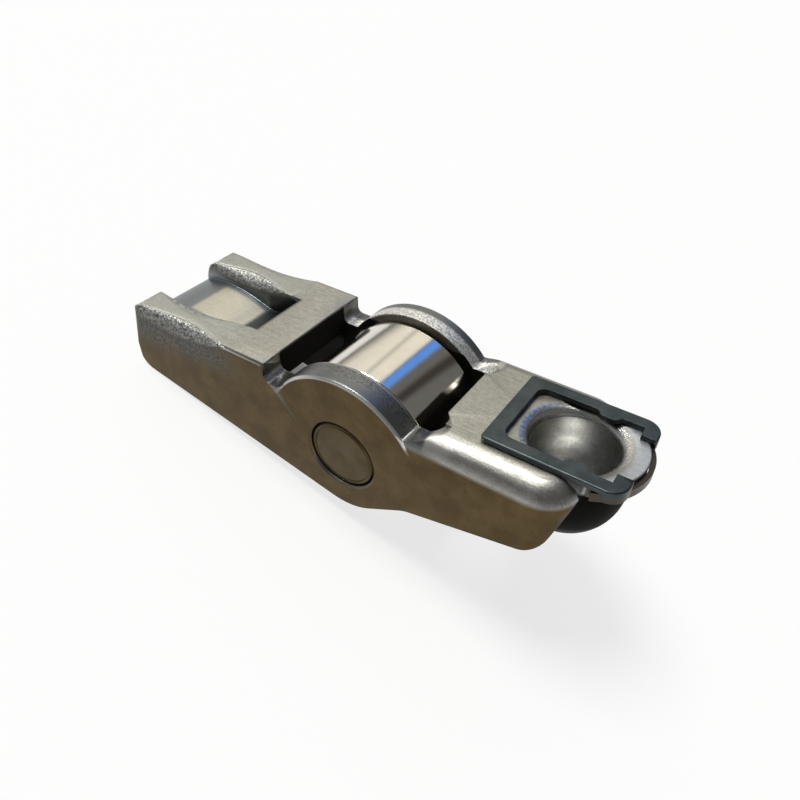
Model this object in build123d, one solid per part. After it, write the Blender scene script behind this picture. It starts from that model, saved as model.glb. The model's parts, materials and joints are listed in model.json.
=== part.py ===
from build123d import *
import os
from math import acos, asin, atan2, cos, degrees, hypot, pi, sin

os.makedirs("parts", exist_ok=True)

# A roller finger follower from an overhead-cam engine, in millimetres.
# The sizes are set out about the roller's axle: X runs to the ball socket, Y along
# the axle and Z to the side that faces the valve and the lash adjuster.
# At the end every piece is laid down together, as the arm comes to rest on a table.

# Stamped arm
arm_width = 15.34
side_plate_t = 2.61
web_height = 6.98
web_t = 3.25
valve_reach = 28.5
end_bow = 0.85
end_bow_z = 1.9
plate_reach = 22.4
lobe_r = 6.4
arch_r = 8.85
tail_height = -0.87
tail_r = 2.1
knee_x = 7.3
knee_z = -3.2
knee_r = 4.0
toe_setback = 1.85
toe_z = -0.15
toe_r = 3.0
toe_top_z = 5.6
plate_end_r = 3.6
bend_r = 2.35
edge_break = 0.3

# Roller window and the notches beside it
window_valve_x = 9.22
window_socket_x = 9.01
corner_relief_r = 1.25
valve_notch_floor = 5.0
valve_notch_x = 9.15
valve_notch_r = 0.7
socket_notch_floor = 5.6
socket_notch_x = 7.2
socket_notch_run = 3.2
arch_bevel = 0.25

# Valve pad between its two ears
ear_gap = 6.9
ear_length = 13.75
ear_round_h = 1.9
ear_end_r = 1.3
ear_corner_r = 2.1
pad_tip_z = 4.6
pad_crest_setback = 3.9
pad_crest_z = 5.27
pad_foot_setback = 9.3
pad_foot_z = 4.33
pad_step_setback = 14.8
pad_t = 3.1
channel_r = 1.2

# Roundings of an ear from the valve end inwards, as shares: of its length, then of its width
# at the inner and at the outer corner, then of their height
ear_roundings = (
    (0.0, 0.2, 0.24, 1.0), (0.25, 0.32, 0.26, 1.0), (0.5, 0.48, 0.38, 1.0), (0.77, 0.26, 0.33, 0.8),
    (1.0, 0.07, 0.07, 0.16),
)

# Ball socket and its flange, set back from the end of the plates
cup_setback = 2.7
cup_r = 3.8
cup_height = 4.1
lip_r = 0.9
dish_r = 4.95
dish_depth = 0.43
dome_r = 5.3
dome_height = 2.75
neck_r = 4.6
flange_setback = 1.35
flange_r = 4.85
flange_t = 1.35
flange_rise = 0.22

# Axle pin, staked into the side plates
pin_r = 3.79
pin_seat = 0.01
pin_recess = 0.2
pin_chamfer = 0.3
hole_chamfer = 0.2
stake_r = 3.32
stake_w = 0.24
stake_depth = 0.16

# Needle bearing and roller
needle_r = 0.75
needle_count = 18
needle_play = 0.02
needle_end_gap = 0.25
needle_chamfer = 0.2
roller_r = 8.27
roller_side_gap = 0.32
roller_chamfer = 0.35
bore_chamfer = 0.25

# Spring clip on the socket end, its places measured from the middle of the socket
clip_t = 0.5
clip_lift = 0.16
clip_start = 6.65
clip_end = 5.9
pad_crest_x = valve_reach - pad_crest_setback
pad_foot_x = valve_reach - pad_foot_setback
pad_step_x = valve_reach - pad_step_setback
clip_half_width = 5.12
clip_leg_w = 1.25
clip_bar_w = 1.42
clip_corner_r = 0.45
clip_inner_r = 1.0
clip_end_r = 1.6
clip_edge_r = 0.15
clip_hook_x = 4.5
clip_hook_y = 2.75
clip_nose_x = 1.4
clip_nose_in = 0.6
clip_nose_length = 2.6
band_gap = 0.08
band_t = 0.42
band_height = 0.95
band_drop = 0.3
bend_drop = 0.6

# Worked out from the sizes above
half_width = arm_width / 2
end_r = ((web_height - end_bow_z) ** 2 + end_bow ** 2) / (2 * end_bow)
tail_x = end_r - valve_reach - (end_r ** 2 - (end_bow_z - tail_height) ** 2) ** 0.5
plate_inner = half_width - side_plate_t
ear_inner = ear_gap / 2
ear_foot_x = valve_reach - ear_length
below = -arch_r - 1
above = arch_r + 3
toe_x = plate_reach - toe_setback
cup_x = plate_reach - cup_setback
flange_x = plate_reach - flange_setback
reach = valve_reach + flange_x
ear_w = half_width - ear_inner
hole_r = pin_r + pin_seat
pitch_r = pin_r + needle_play + needle_r
roller_bore_r = pitch_r + needle_r + needle_play
roller_half = plate_inner - roller_side_gap
web_under = web_height - web_t
band_low = web_height - band_drop - band_height


def side_slab(sketch, half):
    """A side-view sketch, drawn as (x, z), run out to both sides of the middle plane."""
    return extrude(Plane.XZ * sketch, half, both=True)


def both_plates(sketch, inner, outer):
    """A side-view sketch run from an inner to an outer distance, on either side."""
    one = Pos(0, inner, 0) * extrude(Plane.XZ * sketch, -(outer - inner))
    return one + mirror(one, Plane.XZ)


def rounded(sketch, x, z, radius):
    """The sketch with the corner nearest to a point rounded."""
    return fillet(sketch.vertices().sort_by_distance((x, z))[:1], radius)


def outline(*points):
    """A closed sketch through points joined by straight lines."""
    return make_face(Polyline(*points, close=True))


def box_between(x0, x1, y0, y1, z0, z1):
    """A box given by its two ends along each axis."""
    return Pos((x0 + x1) / 2, (y0 + y1) / 2, (z0 + z1) / 2) * Box(x1 - x0, y1 - y0, z1 - z0)


def lobe_touch(x, z, side):
    """Where a line from a point touches the underside of the lobe round the axle."""
    turn = atan2(z, x) + side * acos(lobe_r / hypot(x, z))
    return (lobe_r * cos(turn), lobe_r * sin(turn))


def side_view():
    """Side view of the plates: straight bellies that run into the lobe, tail and toe rounded."""
    tail = (tail_x, tail_height)
    valve_touch = lobe_touch(*tail, 1)
    socket_touch = lobe_touch(knee_x, knee_z, -1)
    end_top = (end_bow - valve_reach, web_height)
    end = ThreePointArc(end_top, (-valve_reach, end_bow_z), tail)
    belly = Polyline(tail, valve_touch)
    lobe = ThreePointArc(valve_touch, (0, -lobe_r), socket_touch)
    toe = Polyline(
        socket_touch, (knee_x, knee_z), (toe_x, toe_z), (plate_reach, toe_top_z),
        (plate_reach, above), (end_top[0], above), end_top,
    )
    view = make_face(end + belly + lobe + toe)
    view = rounded(view, *tail, tail_r)
    view = rounded(view, knee_x, knee_z, knee_r)
    return rounded(view, toe_x, toe_z, toe_r)


def corner(x, z, width, height):
    """Quarter-round run over a top corner, from its side to its top, of a given width and height."""
    pull = 0.55
    return Bezier((x, z - height), (x, z - height * (1 - pull)), (x + width * (1 - pull), z), (x + width, z))


def ear_section(x, inner, outer, height):
    """Cross-section of one ear: a rectangle whose top corners are rounded, wider at some stations."""
    outside = corner(half_width, web_height, -outer * ear_w, height)
    inside = corner(ear_inner, web_height, inner * ear_w, height)
    rest = Polyline(inside @ 0, (ear_inner, below), (half_width, below), outside @ 0)
    section = make_face(outside + inside + rest + Line(outside @ 1, inside @ 1))
    return Pos(x, 0, 0) * (Plane.YZ * section)


def ear_plan(radius, z):
    """One ear from above, at a height, with its outer end corner rounded."""
    plan = outline(
        (-valve_reach, ear_inner), (-valve_reach, half_width), (-ear_foot_x, half_width), (-ear_foot_x, ear_inner),
    )
    return Pos(0, 0, z) * rounded(plan, -valve_reach, half_width, radius)


def corner_waste():
    """What is cut off an ear's outer end corner, more towards the top."""
    plans = [ear_plan(edge_break, end_bow_z).face(), ear_plan(ear_corner_r, web_height).face()]
    kept = loft(plans, ruled=True) + extrude(ear_plan(edge_break, below), end_bow_z - below)
    return box_between(
        -valve_reach - 1, ear_corner_r - valve_reach, half_width - ear_corner_r, half_width + 1, below, web_height,
    ) - kept


def end_waste():
    """What is cut off above the rounded end of an ear's ground top, in side view."""
    low_z = web_height - 2.5 * end_bow
    end_x = end_bow - valve_reach
    kept = outline((-valve_reach, low_z), (end_x, web_height), (0, web_height), (0, low_z))
    round_end = rounded(kept, end_x, web_height, ear_end_r).edges().filter_by(GeomType.CIRCLE)[0]
    low, top = sorted((round_end @ 0, round_end @ 1), key=lambda end: end.Y)
    rest = Polyline(
        top, (top.X, web_height + 1), (-valve_reach - 1, web_height + 1), (-valve_reach - 1, low_z),
        (-valve_reach, low_z), low,
    )
    return side_slab(make_face(round_end + rest), arm_width)


def ears():
    """Both ears, lofted through sections so that their ground lands narrow in the middle."""
    stations = []
    for share, inner, outer, height in ear_roundings:
        x = share * ear_length - valve_reach
        stations.append(ear_section(x, inner, outer, height * ear_round_h))
    one = loft([station.face() for station in stations])
    one -= corner_waste()
    one -= end_waste()
    return one + mirror(one, Plane.XZ)


def pad_line():
    """Side view of the pad's top: convex under the valve tip, then a concave run up to the web."""
    foot = (-pad_foot_x, pad_foot_z)
    pad = ThreePointArc((-valve_reach, pad_tip_z), (-pad_crest_x, pad_crest_z), foot)
    return pad, TangentArc(foot, (-pad_step_x, web_height), tangent=pad % 1)


def pad_strip():
    """The web between the ears, with the pad on top."""
    pad, run_up = pad_line()
    rest = Polyline((-pad_step_x, web_height), (-pad_step_x, below), (-valve_reach, below), pad @ 0)
    return side_slab(make_face(pad + run_up + rest), ear_inner + edge_break)


def pad_slot():
    """What the slot over the valve pad takes out of the web, past the foot of the ears."""
    run_up = pad_line()[1]
    rest = Polyline((-pad_step_x, web_height), (-pad_step_x, above), (-pad_foot_x, above), run_up @ 0)
    return side_slab(make_face(run_up + rest), ear_inner)


def middle_block():
    """Solid block from the ears' foot to the axle, with its upper edges just broken."""
    block = box_between(-ear_foot_x, 0, -half_width, half_width, below, web_height)
    sides = block.faces().sort_by(Axis.Z)[-1].edges().filter_by(Axis.X)
    return fillet(sides, edge_break)


def socket_block():
    """Solid block from the axle to the end of the plates, with the drawn bend on its upper edges."""
    plan = Pos(plate_reach / 2, 0) * Rectangle(plate_reach, arm_width)
    plan = fillet(plan.vertices().group_by(Axis.X)[-1], plate_end_r)
    block = Pos(0, 0, below) * extrude(plan, web_height - below)
    rim = block.faces().sort_by(Axis.Z)[-1].edges().filter_by(lambda edge: edge.center().X > 1)
    return fillet(rim, bend_r)


def notches():
    """What is taken off the plates on either side of the arches over the roller."""
    valve = outline(
        (-valve_notch_x, above), (-valve_notch_x, valve_notch_floor), (0, valve_notch_floor), (0, above),
    )
    valve = rounded(valve, -valve_notch_x, valve_notch_floor, valve_notch_r)
    ramp_x = socket_notch_x + socket_notch_run
    socket = outline(
        (0, above), (0, socket_notch_floor), (socket_notch_x, socket_notch_floor),
        (ramp_x, web_height), (ramp_x + socket_notch_run, above),
    )
    socket = rounded(socket, socket_notch_x, socket_notch_floor, corner_relief_r)
    inner = plate_inner - edge_break
    return both_plates(valve, inner, arm_width) + both_plates(socket, inner, arm_width)


def arches():
    """The two arches that carry the plates over the roller, with a fine bevel outside."""
    one = Cylinder(arch_r, side_plate_t, align=(Align.CENTER, Align.CENTER, Align.MIN))
    one = Pos(0, half_width, 0) * (Rot(90, 0, 0) * one)
    outer = one.faces().sort_by(Axis.Y)[-1].edges()
    one = chamfer(outer, arch_bevel)
    return one + mirror(one, Plane.XZ)


def roller_window():
    """The opening for the roller, right through, with relieved corners at the socket side."""
    window = box_between(-window_valve_x, window_socket_x, -plate_inner, plate_inner, below, above)
    centre_x = window_socket_x - corner_relief_r / 2
    relief = Cylinder(corner_relief_r, above - socket_notch_floor, align=(Align.CENTER, Align.CENTER, Align.MIN))
    for side in (-1, 1):
        window += Pos(centre_x, side * (plate_inner - corner_relief_r / 2), socket_notch_floor) * relief
    return window


def channel(*under):
    """Space between the plates below a line of points, rounded where it meets the web."""
    points = (*under, (under[-1][0], below), (under[0][0], below))
    space = side_slab(outline(*points), plate_inner)
    roof = space.faces().filter_by(lambda face: abs(face.normal_at().Y) < 0.5 and face.normal_at().Z > 0.5)
    edges = roof.edges().filter_by(lambda edge: abs(edge.center().Y) > plate_inner - 0.01)
    return fillet(edges, channel_r)


def flange():
    """Round flange of the socket, its top rising a little towards the end."""
    plan = Pos(flange_x, 0) * Circle(flange_r)
    plan += Pos(flange_x - flange_r, 0) * Rectangle(2 * flange_r, 2 * flange_r)
    tall = Pos(0, 0, web_height - flange_t) * extrude(plan, flange_t + 1)
    end_x = flange_x + flange_r + 1
    top = outline(
        (0, below), (end_x, below), (end_x, web_height + flange_rise), (plate_reach, web_height), (0, web_height),
    )
    return tall & side_slab(rounded(top, plate_reach, web_height, 8), arm_width)


def turned(profile):
    """A half profile, drawn as (distance from the socket's axis, z), turned about that axis."""
    return Pos(cup_x, 0, 0) * revolve(Plane.XZ * profile, Axis.Z)


def cup_shell():
    """Outside of the socket: the round bottom that it was drawn down to, and the neck above."""
    neck_z = dome_height + (dome_r ** 2 - neck_r ** 2) ** 0.5
    root_z = web_height - flange_t + edge_break
    dome = ThreePointArc((0, dome_height - dome_r), (dome_r * cos(pi / 4), dome_height - dome_r * sin(pi / 4)),
                         (neck_r, neck_z))
    rest = Polyline((neck_r, neck_z), (neck_r, root_z), (0, root_z), (0, dome_height - dome_r))
    return turned(make_face(dome + rest))


def cup_hollow():
    """Inside of the socket: a round-bottomed cup, whose lip rolls over into a shallow dish."""
    slope = (dish_r - cup_r) / dish_depth
    lip_z = web_height - dish_depth
    ball = ThreePointArc((0, cup_height - cup_r), (cup_r * cos(pi / 4), cup_height - cup_r * sin(pi / 4)),
                         (cup_r, cup_height))
    rest = Polyline((cup_r, cup_height), (cup_r, lip_z), (cup_r + slope, lip_z + 1), (0, lip_z + 1),
                    (0, cup_height - cup_r))
    return turned(rounded(make_face(ball + rest), cup_r, lip_z, lip_r))


def arm():
    """The stamped arm with everything that is drawn, cut and pierced in it."""
    solid = middle_block() + socket_block()
    solid -= notches()
    solid += arches()
    solid += ears() + pad_strip()
    solid &= side_slab(side_view(), arm_width)
    solid -= pad_slot()
    pad_under = pad_foot_z - pad_t
    solid -= channel(
        (-valve_reach - 1, pad_under + 0.3), (-pad_foot_x, pad_under), (-pad_step_x - 1, web_under), (0, web_under),
    )
    solid -= channel((0, web_under), (reach, web_under))
    solid -= roller_window()
    solid += flange() + cup_shell()
    solid -= cup_hollow()
    bore = Rot(90, 0, 0) * Cylinder(hole_r, arm_width * 2)
    solid -= bore
    mouth = Cone(hole_r, hole_r + hole_chamfer, hole_chamfer, align=(Align.CENTER, Align.CENTER, Align.MIN))
    for side in (-1, 1):
        solid -= Pos(0, side * (half_width - hole_chamfer), 0) * (Rot(-90 * side, 0, 0) * mouth)
    return solid


def axle_pin():
    """Plain pin with chamfered ends and the ring mark of the staking tool."""
    half = half_width - pin_recess
    pin = Rot(90, 0, 0) * Cylinder(pin_r, 2 * half)
    pin = chamfer(pin.edges(), pin_chamfer)
    ring = Cylinder(stake_r + stake_w / 2, stake_depth * 2) - Cylinder(stake_r - stake_w / 2, stake_depth * 2)
    for side in (-1, 1):
        pin -= Pos(0, side * half, 0) * (Rot(90, 0, 0) * ring)
    return pin


def roller():
    """Hardened ring with broken edges, bored for the needles."""
    ring = Rot(90, 0, 0) * Cylinder(roller_r, 2 * roller_half)
    ring = chamfer(ring.edges(), roller_chamfer)
    ring -= Rot(90, 0, 0) * Cylinder(roller_bore_r, 2 * roller_half + 1)
    circles = ring.edges().filter_by(GeomType.CIRCLE)
    return chamfer(circles.filter_by(lambda edge: edge.radius < roller_bore_r + bore_chamfer), bore_chamfer)


def needle(index):
    """One loose needle of the full ring round the pin, its ends broken."""
    half = roller_half - needle_end_gap
    body = Rot(90, 0, 0) * Cylinder(needle_r, 2 * half)
    body = chamfer(body.edges(), needle_chamfer)
    turn = 2 * pi * index / needle_count
    return Pos(pitch_r * cos(turn), 0, pitch_r * sin(turn)) * body


def clip_plan():
    """Outer shape of the spring clip from above: a rectangle, rounder where the legs bend down."""
    start = cup_x - clip_start
    length = clip_start + clip_end
    plan = Pos(start + length / 2, 0) * Rectangle(length, 2 * clip_half_width)
    plan = fillet(plan.vertices().group_by(Axis.X)[0], clip_corner_r)
    return fillet(plan.vertices().group_by(Axis.X)[-1], clip_end_r)


def clip_noses():
    """The noses on the inside of both legs, which hold the neck of the ball."""
    leg_in = clip_half_width - clip_leg_w
    middle = cup_x + clip_nose_x
    half = clip_nose_length / 2
    noses = Sketch()
    for side in (-1, 1):
        tip = side * (leg_in - clip_nose_in)
        root = side * (leg_in + 0.2)
        noses += outline(
            (middle - half, root), (middle - half / 2, tip), (middle + half / 2, tip), (middle + half, root),
        )
    return Pos(0, 0, web_height + clip_lift) * extrude(noses, clip_t)


def clip_band():
    """Band round the flange, under its rim, that joins the two legs."""
    inner = flange_r + band_gap
    ring = Circle(inner + band_t) - Circle(inner)
    band = Pos(flange_x, 0, band_low) * extrude(ring, band_height)
    return band & box_between(plate_reach + 0.6, reach, -arm_width, arm_width, below, above)


def clip():
    """Spring clip: a flat frame whose leg ends hook inwards and bend down to a band."""
    plan = clip_plan()
    end_x = cup_x + clip_end
    under = web_height + clip_lift
    piece = Pos(0, 0, web_height - bend_drop) * extrude(plan, bend_drop + clip_lift + clip_t)
    piece = fillet(piece.edges().group_by(Axis.Z)[-1], clip_edge_r)
    piece -= Pos(0, 0, below) * extrude(offset(plan, -clip_t), under - below)
    piece -= box_between(0, end_x - clip_end_r, -arm_width, arm_width, below, under)
    opening_x = cup_x - clip_start + clip_bar_w
    hook_x = cup_x + clip_hook_x
    opening = Pos((opening_x + hook_x) / 2, 0) * Rectangle(hook_x - opening_x, 2 * (clip_half_width - clip_leg_w))
    opening = fillet(opening.vertices().group_by(Axis.X)[0], clip_inner_r)
    opening += Pos(hook_x, 0) * Rectangle(2 * clip_end, 2 * clip_hook_y)
    piece -= Pos(0, 0, below) * extrude(opening, above - below)
    return piece + clip_noses() + clip_band()


pieces = {"arm": arm(), "axle_pin": axle_pin(), "roller": roller(), "clip": clip()}
for index in range(needle_count):
    pieces[f"needle_{index + 1:02d}"] = needle(index)

# At rest the roller and the rounded tail corner of both plates touch the table
rounds = side_view().edges().filter_by(GeomType.CIRCLE)
tail = rounds.sort_by_distance((tail_x, tail_height))[0].arc_center
rest_tilt = asin((roller_r - tail_r) / hypot(tail.X, tail.Y)) + atan2(tail.Y, -tail.X)

laid = {name: Rot(0, -degrees(rest_tilt), 0) * shape for name, shape in pieces.items()}
extent = Compound(children=[Compound(shape.wrapped) for shape in laid.values()]).bounding_box()
to_table = Pos(-extent.center().X, -extent.center().Y, -extent.min.Z)
for name, shape in laid.items():
    export_step(to_table * shape, f"parts/{name}.step")

mass_x = sum(shape.volume * shape.center(CenterOf.MASS).X for shape in laid.values())
total = sum(shape.volume for shape in laid.values())
print("rest tilt", degrees(rest_tilt), "mass centre from the roller's contact", mass_x / total)
print("axle at", -extent.center().X, -extent.center().Y, -extent.min.Z, "volume", total)
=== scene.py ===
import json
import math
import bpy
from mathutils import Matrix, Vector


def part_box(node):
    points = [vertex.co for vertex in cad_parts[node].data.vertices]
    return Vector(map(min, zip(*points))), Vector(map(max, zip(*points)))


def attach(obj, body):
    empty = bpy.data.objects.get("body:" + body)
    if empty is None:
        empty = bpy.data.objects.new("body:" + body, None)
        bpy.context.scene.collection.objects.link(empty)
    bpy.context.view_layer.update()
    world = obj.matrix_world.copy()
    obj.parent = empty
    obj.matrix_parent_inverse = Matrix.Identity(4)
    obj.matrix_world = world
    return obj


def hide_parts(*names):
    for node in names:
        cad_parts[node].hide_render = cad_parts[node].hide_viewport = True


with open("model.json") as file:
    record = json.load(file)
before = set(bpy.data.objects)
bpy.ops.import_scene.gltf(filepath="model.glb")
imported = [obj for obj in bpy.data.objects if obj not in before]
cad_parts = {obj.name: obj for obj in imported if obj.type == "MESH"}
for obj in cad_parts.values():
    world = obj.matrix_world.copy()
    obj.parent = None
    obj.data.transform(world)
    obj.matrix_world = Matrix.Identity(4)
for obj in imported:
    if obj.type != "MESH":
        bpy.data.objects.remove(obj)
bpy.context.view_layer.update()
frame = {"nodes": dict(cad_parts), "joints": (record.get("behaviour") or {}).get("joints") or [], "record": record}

# %% [markdown]
# A roller finger follower, finished from its construction model.
# The construction model gives every size and place. This script adds the looks: finer
# meshes for the roller and the pin, a smooth skin for the stamped arm and the clip, and
# one material for each finish. The part lies tilted on the table, so most shapes and
# patterns are worked out in the arm's own coordinates, in millimetres about the
# roller's axle, and turned into place at the end.

# %% The arm's own coordinates
from types import SimpleNamespace

import bmesh
import bpy
import numpy as np
from mathutils import Matrix, Vector

MM = 0.001
pad = next(mount for mount in frame["record"]["mounts"] if mount["name"] == "valve_pad")
REST_TILT = math.atan2(-pad["axis"][0], pad["axis"][2])
spin = next(joint for joint in frame["joints"] if joint["name"] == "roller_spin")
AXLE = np.array(spin["pos_m"])


def to_part(points):
    """Points in arm millimetres as points of the part in metres: tilted, then moved to the axle."""
    x, y, z = np.moveaxis(np.asarray(points, float), -1, 0)
    c, s = math.cos(REST_TILT), math.sin(REST_TILT)
    return np.stack((x * c - z * s, y, x * s + z * c), -1) * MM + AXLE


def to_arm(points):
    """Points of the part in metres as arm millimetres, the other way round."""
    x, y, z = np.moveaxis((np.asarray(points, float) - AXLE) / MM, -1, 0)
    c, s = math.cos(REST_TILT), math.sin(REST_TILT)
    return np.stack((x * c + z * s, y, -x * s + z * c), -1)


def way_in_part(direction):
    """A direction along the arm's own axes as one along the part's."""
    return tuple((to_part(direction) - AXLE) / MM)


low, high = (np.array(corner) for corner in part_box("roller"))
ROLLER_R = (high[2] - low[2]) / 2 / MM
ROLLER_HALF = (high[1] - low[1]) / 2 / MM
print("axle at", AXLE.round(5), "roller radius and half width", round(ROLLER_R, 3), round(ROLLER_HALF, 3))

# %% [markdown]
# The photograph was taken by a phone held close over the part, so the view has strong
# perspective: the camera stands only some 70 mm from the roller. A camera placed from
# a few known edges gives its place, two angles and a small roll, and they are kept
# here in arm millimetres, so that the camera turns with the part's resting tilt.

# %% Camera
CAMERA_AT = (30.535, -43.630, 46.156)
AZIMUTH, ELEVATION, ROLL = (math.radians(a) for a in (32.88, 40.97, 1.35))
FOCAL_PIXELS, IMAGE_PIXELS = 681.7, 800
CENTRE_PIXEL = (405.3, 414.0)

back = np.array((
    math.sin(AZIMUTH) * math.cos(ELEVATION),
    -math.cos(AZIMUTH) * math.cos(ELEVATION),
    math.sin(ELEVATION),
))
level = np.array((math.cos(AZIMUTH), math.sin(AZIMUTH), 0.0))
upright = np.cross(back, level)
right = level * math.cos(ROLL) + upright * math.sin(ROLL)
up = np.cross(back, right)

camera = bpy.data.objects.new("camera", bpy.data.cameras.new("camera"))
bpy.context.scene.collection.objects.link(camera)
bpy.context.scene.camera = camera
matrix = np.eye(4)
matrix[:3, :3] = np.array([way_in_part(axis) for axis in (right, up, back)]).T
matrix[:3, 3] = to_part(CAMERA_AT)
camera.matrix_world = Matrix(matrix)
camera.data.sensor_width = 36
camera.data.lens = 36 * FOCAL_PIXELS / IMAGE_PIXELS
camera.data.shift_x = (IMAGE_PIXELS / 2 - CENTRE_PIXEL[0]) / IMAGE_PIXELS
camera.data.shift_y = (CENTRE_PIXEL[1] - IMAGE_PIXELS / 2) / IMAGE_PIXELS
camera.data.clip_start = 0.002
camera.data.clip_end = 10
print("camera at", matrix[:3, 3].round(4), "lens", round(camera.data.lens, 2))

# %% [markdown]
# Shader sums read badly as nodes. One small class wraps a socket, so that a plain
# expression such as 1 - mask * 0.5 adds its Math nodes, and one method makes any
# other node from its type, its settings and what goes into its sockets.

# %% Shader sums


class Value:
    """A socket that can be added, subtracted and multiplied in plain expressions."""

    def __init__(self, shader, socket):
        self.shader, self.socket = shader, socket

    def sum(self, operation, *others):
        return self.shader.node("ShaderNodeMath", {"operation": operation}, self, *others)

    def __add__(self, other):
        return self.sum("ADD", other)

    def __radd__(self, other):
        return self.sum("ADD", other)

    def __sub__(self, other):
        return self.sum("SUBTRACT", other)

    def __rsub__(self, other):
        return self.shader.node("ShaderNodeMath", {"operation": "SUBTRACT"}, other, self)

    def __mul__(self, other):
        return self.sum("MULTIPLY", other)

    def __rmul__(self, other):
        return self.sum("MULTIPLY", other)

    def __abs__(self):
        return self.sum("ABSOLUTE")

    def most(self, other):
        return self.sum("MAXIMUM", other)

    def root(self):
        return self.sum("SQRT")

    def ramp(self, start, end):
        """0 before start, 1 after end, smooth between; start may be the larger."""
        settings = {"interpolation_type": "SMOOTHSTEP", "clamp": True}
        if start > end:
            return 1 - self.ramp(end, start)
        return self.shader.node("ShaderNodeMapRange", settings, self, start, end, 0.0, 1.0)

    def band(self, start, end, soft):
        """1 between start and end, fading out over the soft distance."""
        return self.ramp(start - soft, start + soft) * self.ramp(end + soft, end - soft)


class Shader:
    """The nodes of a material or of the world."""

    def __init__(self, owner):
        owner.use_nodes = True
        self.owner, self.tree = owner, owner.node_tree

    def node(self, kind, settings, *values, output=0):
        """Adds a node, sets its settings, then fills its input sockets in order."""
        made = self.tree.nodes.new(kind)
        for name, value in settings.items():
            setattr(made, name, value)
        sockets = [socket for socket in made.inputs if socket.enabled]
        for socket, value in zip(sockets, values):
            self.fill(socket, value)
        return Value(self, made.outputs[output])

    def fill(self, socket, value):
        """Links a value to a socket, or sets the socket to a number or colour."""
        if isinstance(value, Value):
            self.tree.links.new(value.socket, socket)
        elif value is not None:
            socket.default_value = value

    def split(self, vector):
        """The three numbers of a vector."""
        made = self.tree.nodes.new("ShaderNodeSeparateXYZ")
        self.fill(made.inputs[0], vector)
        return tuple(Value(self, socket) for socket in made.outputs)

    def dot(self, vector, direction):
        """How far a vector reaches along a direction."""
        settings = {"operation": "DOT_PRODUCT"}
        return self.node("ShaderNodeVectorMath", settings, vector, direction, output="Value")

    def seen_by(self, *kinds):
        """1 where the ray is of one of the named kinds, else 0."""
        seen, *others = (
            self.node("ShaderNodeLightPath", {}, output=f"Is {kind} Ray") for kind in kinds
        )
        for ray in others:
            seen = seen.most(ray)
        return seen

    def mix(self, share, first, second):
        """A colour between two colours."""
        made = self.tree.nodes.new("ShaderNodeMix")
        made.data_type = "RGBA"
        for socket, value in zip((made.inputs[0], made.inputs[6], made.inputs[7]), (share, first, second)):
            if isinstance(value, tuple):
                value = (*value, 1.0)
            self.fill(socket, value)
        return Value(self, made.outputs[2])


# %% [markdown]
# A finish is a material whose patterns follow the piece: it reads Object coordinates and
# turns them back into arm millimetres, so that "the web's top" is simply one height.

# %% Finishes


class Finish(Shader):
    """A material, with the place on the piece in arm millimetres."""

    def __init__(self, name):
        super().__init__(bpy.data.materials.new(name))
        self.surface = self.tree.nodes["Principled BSDF"]
        place = self.node("ShaderNodeTexCoord", {}, output="Object")
        self.place = self.node(
            "ShaderNodeMapping", {"vector_type": "POINT"}, place,
            tuple(to_arm((0, 0, 0))), (0.0, REST_TILT, 0.0), (1 / MM,) * 3,
        )
        self.x, self.y, self.z = self.split(self.place)
        faces = self.node("ShaderNodeTexCoord", {}, output="Normal")
        self.up = self.dot(faces, way_in_part((0, 0, 1)))

    def away(self, **start):
        """Distance from a point of the arm, counted along the axes that are named."""
        total = 0
        for axis, value in start.items():
            part = getattr(self, axis) - value
            total = part * part + total
        return total.root()

    def noise(self, scale, detail=4.0, rough=0.55, stretch=(1, 1, 1)):
        """Smooth noise from 0 to 1, a given number of lumps per millimetre, stretched by axis."""
        at = self.node(
            "ShaderNodeVectorMath", {"operation": "MULTIPLY"}, self.place, tuple(float(v) for v in stretch),
        )
        return self.node("ShaderNodeTexNoise", {}, at, float(scale), float(detail), float(rough))

    def bump(self, height, depth_mm, edge_mm):
        """A normal from a height of 0 to 1 that stands for a depth, over edges rounded by edge_mm."""
        edge = self.node("ShaderNodeBevel", {"samples": 6}, edge_mm * MM)
        made = self.tree.nodes.new("ShaderNodeBump")
        made.inputs["Strength"].default_value = 1.0
        made.inputs["Distance"].default_value = depth_mm * MM
        self.fill(made.inputs["Height"], height)
        self.fill(made.inputs["Normal"], edge)
        return Value(self, made.outputs[0])

    def finish(self, color, roughness, normal):
        """Feeds the shader of a bare metal and hands back the material."""
        self.surface.inputs["Metallic"].default_value = 1.0
        for name, value in (("Base Color", color), ("Roughness", roughness), ("Normal", normal)):
            self.fill(self.surface.inputs[name], value)
        print("material", self.owner.name, "with", len(self.tree.nodes), "nodes")
        return self.owner


# %% [markdown]
# The arm is pressed from sheet, then ground flat on the web and the tops of the ears.
# Its finishes are told apart by where they are and which way the skin faces. They share
# a few noises: blotches of oil, fine grain, pits, a leathery grain for the bent ears,
# and the straight lines of the grinding.

# %% Grains of the stamped steel
PLATE_IN, PLATE_OUT, WEB_TOP = 5.06, 7.67, 6.98
SLOT_HALF, EAR_ROOT, ARCH_R = 3.45, -13.8, 8.85
CUP_X, CUP_Z, RIM_X = 19.7, 4.1, 22.4


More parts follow.
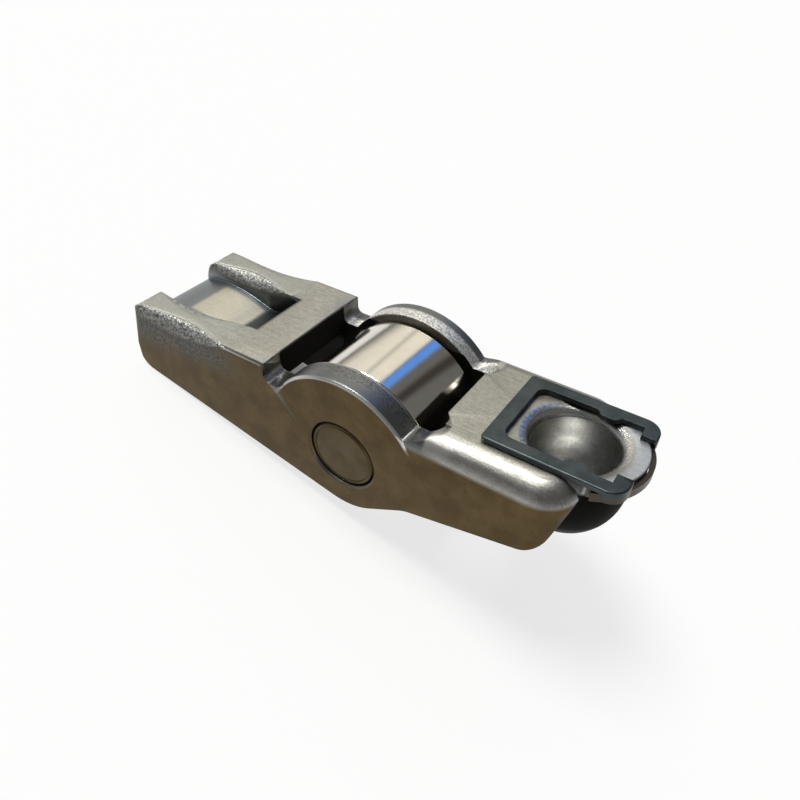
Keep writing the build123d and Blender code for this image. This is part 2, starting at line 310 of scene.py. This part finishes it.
def grains(s):
    """The noises of the steel, and what several finishes make of them."""
    g = SimpleNamespace(
        blotch=s.noise(0.35, 5.0, 0.6),
        fine=s.noise(8.0, 3.0, 0.7),
        grain=s.noise(4.5, 5.0, 0.65),
        leather=s.noise(3.4, 3.0, 0.55),
        pits=s.noise(1.6, 6.0, 0.75),
        lines=s.noise(0.8, 4.0, 0.6, (0.25, 8.0, 1.0)),
        scratches=s.noise(1.0, 3.0, 0.6, (0.3, 9.0, 1.0)),
    )
    g.wander = (g.pits - 0.5) * 0.5
    g.tone = g.blotch.ramp(0.3, 0.72)
    g.mottle = (g.fine * 0.45 + g.pits * 0.25 + g.scratches * 0.3).ramp(0.36, 0.62)
    g.speck = (g.leather * 0.65 + g.grain * 0.35).ramp(0.36, 0.66)
    return g


# %% [markdown]
# Each finish has a mask, 1 where it lies: ground lands at one height, bends that face
# partly upward, arches over the roller with a chamfer outside, notches beside them, the
# slot between the ears with its polished pad, and the drawn edge round the socket.

# %% Places on the top of the arm


def arch_places(s, at):
    """The arches over the roller: their skin, rough band and edges with painted highlights, and the notches beside
    them.
    """
    side, radius = abs(s.y), s.away(x=0, z=0)
    on_arch = abs(s.x).ramp(ARCH_R + 0.25, ARCH_R - 0.15)
    at.arch = radius.ramp(ARCH_R - 0.25, ARCH_R - 0.05) * s.z.ramp(3.5, 4.5) * on_arch
    at.band = at.arch * side.ramp(6.7, 6.3)
    at.near = s.y.ramp(0.5, -0.5)
    # painted highlight: a bright line along the near arch's inner edge
    at.inner_line = at.arch * at.near * side.band(PLATE_IN - 0.1, PLATE_IN + 0.12, 0.08)
    # painted highlight: the outer chamfer of the arches is painted bright
    chamfer = radius.band(ARCH_R - 0.29, ARCH_R + 0.07, 0.05)
    chamfer = chamfer * side.band(PLATE_OUT - 0.24, PLATE_OUT - 0.01, 0.03)
    at.bevel = chamfer * s.z.ramp(4.0, 5.0) * on_arch
    beside = abs(s.x).band(7.4, 11.5, 0.4) * radius.ramp(ARCH_R, ARCH_R + 0.15)
    at.notch = s.up.ramp(0.3, 0.8) * s.z.ramp(6.8, 6.6) * beside * side.ramp(PLATE_IN - 0.2, PLATE_IN)


def top_places(s, g, at):
    """The ground web, its bent and drawn edges, the slot between the ears and the socket's bowl."""
    x, z, side = s.x, s.z, abs(s.y)
    cup = s.away(x=CUP_X, y=0)
    off_arch = abs(x).ramp(ARCH_R - 0.15, ARCH_R + 0.25)
    at.ground = z.ramp(WEB_TOP - 0.12, WEB_TOP - 0.04) * off_arch
    at.bend = (s.up.ramp(0.04, 0.3) - at.ground).most(0)
    at.torn = at.bend * x.ramp(EAR_ROOT, EAR_ROOT - 0.8) * side.ramp(SLOT_HALF + 0.05, SLOT_HALF + 0.25)
    # painted highlight: a bright line on the bend along the middle block's edge
    at.edge = at.bend * x.band(-14.4, -9.3, 0.3) * side.ramp(PLATE_IN, PLATE_OUT - 0.5)
    at.drawn = at.bend * x.ramp(7.6, 11.0)
    at.slot = side.ramp(SLOT_HALF + 0.15, SLOT_HALF) * x.ramp(EAR_ROOT + 0.5, EAR_ROOT)
    # painted shade: the slope from the pad up to the web is painted nearly black
    at.slot_foot = at.slot * (x + g.wander).ramp(-18.9, -18.0)
    pad = (side + g.wander * 0.7).ramp(3.0, 2.4) * (x + g.wander).band(-24.4, -18.6, 0.3)
    at.land = at.slot * pad
    at.bowl = cup.ramp(5.0, 4.8) * z.ramp(WEB_TOP - 0.02, WEB_TOP - 0.12)
    at.rim = at.ground.most(at.drawn) * cup.ramp(4.7, 5.0) * x.ramp(RIM_X - 0.6, RIM_X)


# %% [markdown]
# The outsides of the side plates are painted brown, a painted reflection of a brown table,
# and the grain of the bent ears runs down over them. The hollows are painted nearly black,
# as painted shade: the window round the roller, the channel under the web and the dome
# under the cup, but not the inside of the cup.

# %% Places on the sides and in the hollows


def side_places(s, g, at):
    """The plates painted brown as a reflection, the part of them that the ears' grain runs over, and the hollows
    painted dark as shade.
    """
    x, z, side = s.x, s.z, abs(s.y)
    cup, ball = s.away(x=CUP_X, y=0), s.away(x=CUP_X, y=0, z=CUP_Z)
    outside = side.ramp(PLATE_OUT - 0.3, PLATE_OUT - 0.1).most(x.ramp(17.5, 18.5) * cup.ramp(5.4, 5.55))
    at.plate = outside * (1 - at.bend) * (1 - at.ground) * x.ramp(RIM_X + 0.3, RIM_X + 0.1)
    high_up = (z + g.wander * 3 - (x + 14.0) * 0.07).ramp(2.2, 5.8)
    at.ear_side = high_up * (x + g.wander * 3).ramp(-11.0, -17.0)
    at.rugged = at.torn.most(at.plate * at.ear_side * 0.8)

    inside = side.ramp(PLATE_IN + 0.1, PLATE_IN + 0.02)
    window = abs(x).ramp(9.4, 9.3) * inside * z.ramp(WEB_TOP - 0.1, WEB_TOP - 0.3)
    under = z.ramp(4.2, 3.4) * side.ramp(PLATE_IN + 0.1, PLATE_IN - 0.05)
    dome = cup.ramp(5.5, 5.4) * z.ramp(6.0, 5.5)
    in_cup = ball.ramp(4.0, 3.9).most(cup.ramp(4.0, 3.9) * z.ramp(3.6, 4.0))
    # painted shade: the window wall, the channel under the web and the dome are painted nearly black
    at.dark = window.most(under).most(dome) * (1 - in_cup)


# %% [markdown]
# The colours lie in layers, from the bare steel up. Ground faces are mottled by their
# grinding, warmer on the web than on the ears. The torn grain has painted glints on its
# tips and painted shade where it turns to the side. Both arches have a rough band of one
# finish, painted bright on the far arch and painted darker, as shade, on the near one.

# %% Stamped steel


def stamped_layers(s, g, at):
    """The finishes from the lowest layer up, each as its mask and its colour."""
    warm = s.mix(g.mottle, (0.235, 0.23, 0.20), (0.43, 0.42, 0.375))
    cool = s.mix(g.mottle, (0.265, 0.27, 0.25), (0.44, 0.445, 0.41))
    # painted glints: the grain's bright specks stand for light caught on its facets
    grain_glints_painted = s.mix(g.speck, (0.12, 0.124, 0.116), (0.56, 0.56, 0.535))
    # painted shade: the torn grain is painted darker where it faces sideways, lighter where it faces up
    torn = s.mix(s.up.ramp(-0.15, 0.8), (0.060, 0.060, 0.054), grain_glints_painted)
    coarse = g.grain.ramp(0.38, 0.62)
    # one rough band on both arches: painted bright with glints on the far arch, painted darker as shade on the
    # near arch
    far_band_painted_light = s.mix(coarse, (0.40, 0.40, 0.38), (0.86, 0.855, 0.81))
    near_band_painted_shade = s.mix(coarse, (0.12, 0.125, 0.125), (0.22, 0.22, 0.21))
    # painted reflection: the plates' brown stands for a brown table mirrored in them, with blotches, pits and
    # grain specks in it
    brown_painted_reflection = s.mix(g.tone, (0.078, 0.052, 0.021), (0.125, 0.086, 0.036))
    brown_painted_reflection = s.mix(g.pits.ramp(0.58, 0.7) * 0.6, brown_painted_reflection, (0.05, 0.038, 0.02))
    brown_painted_reflection = s.mix(g.grain.ramp(0.64, 0.8) * 0.5, brown_painted_reflection, (0.2, 0.17, 0.12))
    grained = s.mix(g.speck, (0.050, 0.048, 0.040), (0.145, 0.141, 0.128))
    return (
        (at.ground, s.mix(s.x.ramp(-13.0, -17.0), warm, cool)),
        (at.torn, torn),
        # painted highlight along the middle block's bent edge
        (at.edge, (0.60, 0.60, 0.56)),
        (at.drawn, s.mix(g.mottle, (0.24, 0.235, 0.218), (0.395, 0.39, 0.36))),
        (at.notch, (0.52, 0.52, 0.49)),
        (at.arch, (0.17, 0.175, 0.175)),
        (at.band, s.mix(at.near, far_band_painted_light, near_band_painted_shade)),
        # painted highlight on the near arch's inner edge
        (at.inner_line, (0.50, 0.50, 0.48)),
        (at.slot, (0.21, 0.23, 0.24)),
        # painted shade on the step from the pad up to the web
        (at.slot_foot, (0.06, 0.065, 0.065)),
        (at.land, s.mix(g.mottle, (0.43, 0.41, 0.34), (0.54, 0.52, 0.44))),
        (at.bowl, s.mix(g.grain.ramp(0.4, 0.6), (0.45, 0.45, 0.43), (0.56, 0.56, 0.54))),
        # painted reflection: the rim is painted pale blue, for the blue sky mirrored in it, over its grinding
        # mottle
        (at.rim, s.mix(g.mottle, (0.34, 0.36, 0.375), (0.47, 0.495, 0.52))),
        (at.plate, s.mix(at.ear_side, brown_painted_reflection, grained)),
        # painted highlight on the arches' outer chamfer
        (at.bevel, (0.62, 0.62, 0.60)),
        # painted shade in the hollows
        (at.dark, (0.016, 0.016, 0.014)),
    )


def stamped_steel():
    """The arm's material: layered colours, and a relief that is deepest where the steel was torn."""
    s = Finish("stamped_steel")
    g, at = grains(s), SimpleNamespace()
    arch_places(s, at)
    top_places(s, g, at)
    side_places(s, g, at)
    color = s.mix(g.tone, (0.12, 0.11, 0.095), (0.19, 0.18, 0.155))
    for mask, tint in stamped_layers(s, g, at):
        color = s.mix(mask, color, tint)

    smooth = at.ground * 0.06 + at.slot * 0.12 + at.bowl * 0.18 + at.drawn * 0.06 + at.arch * at.near * 0.12
    rough = 0.42 + g.blotch * 0.1 + at.dark * 0.3 - smooth
    coarse = 0.1 + at.rugged * 0.8 + at.band * (1.1 - at.near * 0.7) + at.bowl * 0.1 + at.drawn * 0.35
    pitted = at.torn * 0.3 + at.ground * 0.15
    height = g.fine * 0.2 + g.grain * coarse + g.leather * at.rugged * 1.3
    height = height + g.pits * pitted + g.lines * at.ground * 0.14
    return s.finish(color, rough, s.bump(height, 0.05, 0.16))


STAMPED = stamped_steel()

# %% [markdown]
# The roller and the needles are hardened and ground, the pin is turned and staked.
# Grinding leaves very fine rings round the axle, so the noise is stretched round it.

# %% Ground steel


def ground_steel(name, dark, tint, roughness, rings=0.3):
    """A turned or ground metal: two close colours in soft blotches, and fine rings of a given depth."""
    s = Finish(name)
    turned_lines = s.noise(1.0, 5.0, 0.6, (0.2, 14.0, 0.2))
    blotch = s.noise(0.5, 4.0, 0.6)
    fine = s.noise(7.0, 3.0, 0.6)
    color = s.mix(blotch.ramp(0.3, 0.7), dark, tint)
    height = turned_lines * rings + fine * 0.1
    return s.finish(color, roughness + blotch * 0.04, s.bump(height, 0.012, 0.06))


ROLLER_STEEL = ground_steel("roller_steel", (0.69, 0.655, 0.59), (0.73, 0.69, 0.62), 0.09)
# painted reflection: the pin's ends are painted brown, for a brown table mirrored in them
PIN_STEEL = ground_steel("pin_steel", (0.068, 0.048, 0.023), (0.095, 0.070, 0.036), 0.36, 0.0)
NEEDLE_STEEL = ground_steel("needle_steel", (0.50, 0.50, 0.49), (0.60, 0.60, 0.58), 0.2)

# %% [markdown]
# The clip is spring steel with a blue-black temper skin, painted brown where it is bent down, a painted reflection
# of a brown table.

# %% Spring steel


def spring_steel():
    """The clip's material: blue-black in soft blotches on the flat frame, painted brown below it as a reflection.
    """
    s = Finish("spring_steel")
    blotch = s.noise(0.6, 4.0, 0.6)
    fine = s.noise(9.0, 4.0, 0.6)
    color = s.mix(blotch.ramp(0.3, 0.7), (0.048, 0.060, 0.062), (0.076, 0.090, 0.091))
    # painted reflection: below the web's top the clip is painted brown, for a brown table mirrored in it
    color = s.mix(s.z.ramp(WEB_TOP + 0.05, WEB_TOP - 0.4), color, (0.075, 0.060, 0.048))
    return s.finish(color, 0.34 + blotch * 0.1, s.bump(fine, 0.012, 0.08))


SPRING = spring_steel()

# %% [markdown]
# A turned piece is a profile of radius and distance along the axle, carried round
# the axle. The whole grid is computed at once, and its ends meet, so it is closed.

# %% Turned pieces


def stand_in(name, mesh, sharp, material, body, node):
    """Shows a smooth mesh in place of a construction node, riding on a body.

    Edges whose faces turn by more than the sharp angle, in degrees, stay sharp.
    """
    mesh.shade_smooth()
    mesh.set_sharp_from_angle(angle=math.radians(sharp))
    mesh.materials.clear()
    mesh.materials.append(material)
    made = bpy.data.objects.new(name, mesh)
    bpy.context.scene.collection.objects.link(made)
    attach(made, body)
    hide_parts(node)
    print(name, len(mesh.polygons), "faces")
    return made


def turned(name, profile, steps):
    """The mesh of a closed (radius, along) profile carried round the axle in equal steps.

    X and Z are the radius times the cosine and the sine of the turn, Y is the distance along.
    """
    radius, along = np.array(profile, float).T
    turn = np.linspace(0, 2 * np.pi, steps, endpoint=False)[:, None]
    points = np.stack((radius * np.cos(turn), along + 0 * turn, radius * np.sin(turn)), -1)
    count = len(radius)
    i, j = np.meshgrid(np.arange(steps), np.arange(count), indexing="ij")
    i2, j2 = (i + 1) % steps, (j + 1) % count
    faces = np.stack((i2 * count + j, i2 * count + j2, i * count + j2, i * count + j), -1)
    mesh = bpy.data.meshes.new(name)
    mesh.from_pydata(to_part(points.reshape(-1, 3)), [], faces.reshape(-1, 4))
    return mesh


def rounded_profile(corners, round_mm, steps=5):
    """A closed profile through corners, each corner cut back and bent round as a quadratic curve."""
    corners = np.array(corners, float)
    before, after = np.roll(corners, 1, 0), np.roll(corners, -1, 0)
    gone_in = (before - corners) / np.linalg.norm(before - corners, axis=1)[:, None] * round_mm
    gone_out = (after - corners) / np.linalg.norm(after - corners, axis=1)[:, None] * round_mm
    t = np.linspace(0, 1, steps)[None, :, None]
    first, last = (corners + gone_in)[:, None], (corners + gone_out)[:, None]
    curve = (1 - t) ** 2 * first + 2 * t * (1 - t) * corners[:, None] + t ** 2 * last
    return curve.reshape(-1, 2)


# %% [markdown]
# The roller is a ring with broken edges. The pin has chamfered ends, each with the
# ring mark of the staking tool. A profile that reached the middle line would give faces
# without area, so the pin's closes along a core a few thousandths of a millimetre wide.

# %% Roller and pin
CHAMFER, BORE_R, BORE_CHAMFER = 0.35, 5.33, 0.25
PIN_R, PIN_HALF, PIN_CHAMFER = 3.79, 7.47, 0.3
STAKE_R, STAKE_W, STAKE_DEPTH = 3.32, 0.24, 0.16
CORE_R = 0.002


def both_ends(half_profile):
    """A closed profile from its one half, mirrored along the axle."""
    return half_profile + [(radius, -along) for radius, along in reversed(half_profile)]


ring = both_ends([
    (BORE_R, -ROLLER_HALF + BORE_CHAMFER), (BORE_R + BORE_CHAMFER, -ROLLER_HALF),
    (ROLLER_R - CHAMFER, -ROLLER_HALF), (ROLLER_R, -ROLLER_HALF + CHAMFER),
])
mesh = turned("roller_ring", rounded_profile(ring, 0.08), 256)
stand_in("roller_ring", mesh, 30, ROLLER_STEEL, "roller", "roller")

end = both_ends([
    (CORE_R, -PIN_HALF), (STAKE_R - STAKE_W, -PIN_HALF), (STAKE_R, -PIN_HALF + STAKE_DEPTH),
    (STAKE_R + STAKE_W, -PIN_HALF), (PIN_R - PIN_CHAMFER, -PIN_HALF), (PIN_R, -PIN_HALF + PIN_CHAMFER),
])
mesh = turned("pin", rounded_profile(end, 0.05), 192)
stand_in("pin", mesh, 30, PIN_STEEL, "arm", "axle_pin")

# %% [markdown]
# The stamped arm and the clip keep the shape of their construction meshes. A merged
# copy of each is shaded smooth with its sharp edges kept, so that the bends are round
# and the cut edges stay crisp. The needles only get their steel.

# %% Arm, clip and needles


def smooth_copy(node, material, body):
    """A merged copy of a construction mesh, smooth but for its sharp edges, its flats kept flat."""
    sheet = bmesh.new()
    sheet.from_mesh(frame["nodes"][node].data)
    bmesh.ops.remove_doubles(sheet, verts=sheet.verts, dist=0.002 * MM)
    mesh = bpy.data.meshes.new(f"{node}_skin")
    sheet.to_mesh(mesh)
    sheet.free()
    made = stand_in(f"{node}_skin", mesh, 28, material, body, node)
    weights = made.modifiers.new("flats", "WEIGHTED_NORMAL")
    weights.keep_sharp = True
    weights.weight = 100


smooth_copy("arm", STAMPED, "arm")
smooth_copy("clip", SPRING, "arm")
for name, node in frame["nodes"].items():
    if name.startswith("needle"):
        node.data.materials.clear()
        node.data.materials.append(NEEDLE_STEEL)

# %% [markdown]
# A white floor lies below and runs past the edge of the picture, so it is the white
# background too. Three quarters of what the camera and polished metal see of it is plain
# white, through Light Path, and the rest keeps a faint shadow. Right under the part the
# shadow is kept nearly whole, because a gap beside the roller looks down there.

# %% Floor
FLOOR_HALF = 1.5
WHITE_SHARE, SHADED_SHARE = 0.75, 0.15
SHADE_X, SHADE_Y, SHADE_SOFT = (-0.017, -0.002), (-0.002, 0.0065), 0.0015
signs = ((-1, -1), (1, -1), (1, 1), (-1, 1))
corners = [(i * FLOOR_HALF, j * FLOOR_HALF, 0) for i, j in signs]
floor_mesh = bpy.data.meshes.new("floor")
floor_mesh.from_pydata(corners, [], [(0, 1, 2, 3)])
floor = bpy.data.objects.new("floor", floor_mesh)
bpy.context.scene.collection.objects.link(floor)

paint = Shader(bpy.data.materials.new("white_floor"))
surface = paint.tree.nodes["Principled BSDF"]
surface.inputs["Base Color"].default_value = (0.9, 0.9, 0.9, 1)
surface.inputs["Roughness"].default_value = 0.9
white = paint.node("ShaderNodeEmission", {}, (1.0, 1.0, 1.0, 1.0), 1.0)
x, y, _ = paint.split(paint.node("ShaderNodeTexCoord", {}, output="Object"))
shaded = x.band(*SHADE_X, SHADE_SOFT) * y.band(*SHADE_Y, SHADE_SOFT)
plain = WHITE_SHARE - shaded * (WHITE_SHARE - SHADED_SHARE)
share = paint.seen_by("Camera", "Glossy", "Transmission") * plain
both = paint.node("ShaderNodeMixShader", {}, share, Value(paint, surface.outputs[0]), white)
paint.fill(paint.tree.nodes["Material Output"].inputs["Surface"], both)
floor_mesh.materials.append(paint.owner)

# %% [markdown]
# Bare metal shows what stands round it. Here that is a room: dim walls with a brown
# piece on one side, one large bright window behind and above with a dimmer bar in it,
# and a narrow strip of blue sky beside it. All are measured by direction only, in the
# arm's own axes. The room itself isn't seen: past the floor's edge the camera looks into
# white.

# %% Sky
WALLS, BROWN_PIECE = (0.17, 0.17, 0.17), (0.055, 0.048, 0.040)
PANE, BAR, FAR_PANE = (1.08, 1.03, 0.92), (0.60, 0.58, 0.53), (0.98, 0.95, 0.87)
BLUE_SKY, WHITE = (0.14, 0.40, 1.15), (1.0, 1.0, 1.0)

world = bpy.data.worlds.new("sky")
bpy.context.scene.world = world
sky = Shader(world)
toward = sky.node("ShaderNodeTexCoord", {}, output="Generated")
along, across, above = (sky.dot(toward, way_in_part(axis)) for axis in np.eye(3))
window = along.ramp(0.0, -0.05) * above.ramp(0.2, 0.5) * across.ramp(-0.2, 0.35)
strip = along.band(0.02, 0.17, 0.02) * above.ramp(0.4, 0.5) * across.ramp(0.3, 0.45)
pane = sky.mix(along.band(-0.37, -0.31, 0.04), PANE, BAR)
pane = sky.mix(along.ramp(-0.40, -0.62), pane, FAR_PANE)
walls = sky.mix(along.band(0.36, 0.50, 0.04), WALLS, BROWN_PIECE)
light = sky.mix(window, walls, pane)
light = sky.mix(strip, light, BLUE_SKY)
light = sky.mix(sky.seen_by("Camera", "Transmission"), light, WHITE)
sky.fill(world.node_tree.nodes["Background"].inputs["Color"], light)
print("sky with", len(world.node_tree.nodes), "nodes")

# %% [markdown]
# One wide sun from above adds to the light of the room. It is placed in the arm's own
# axes too, so it turns with the part's resting tilt.

# %% Lamp
SUN_STRENGTH, SUN_WIDTH, SUN_DISTANCE = 2.8, math.radians(24), 500
SUN_TOWARD = np.array((-0.25, -0.03, 0.97))

sun = bpy.data.lights.new("key", "SUN")
sun.energy = SUN_STRENGTH
sun.angle = SUN_WIDTH
sun.color = (1, 0.99, 0.97)
key = bpy.data.objects.new("key", sun)
bpy.context.scene.collection.objects.link(key)
start = Vector(to_part(SUN_TOWARD / np.linalg.norm(SUN_TOWARD) * SUN_DISTANCE))
end = Vector(to_part((0, 0, 0)))
key.location = start
key.rotation_mode = "QUATERNION"
key.rotation_quaternion = (end - start).to_track_quat("-Z", "Y")
print("lamp key", SUN_STRENGTH)

# %% [markdown]
# Colours are shown as they are, without a film look.

# %% Colour
bpy.context.scene.view_settings.view_transform = "Standard"
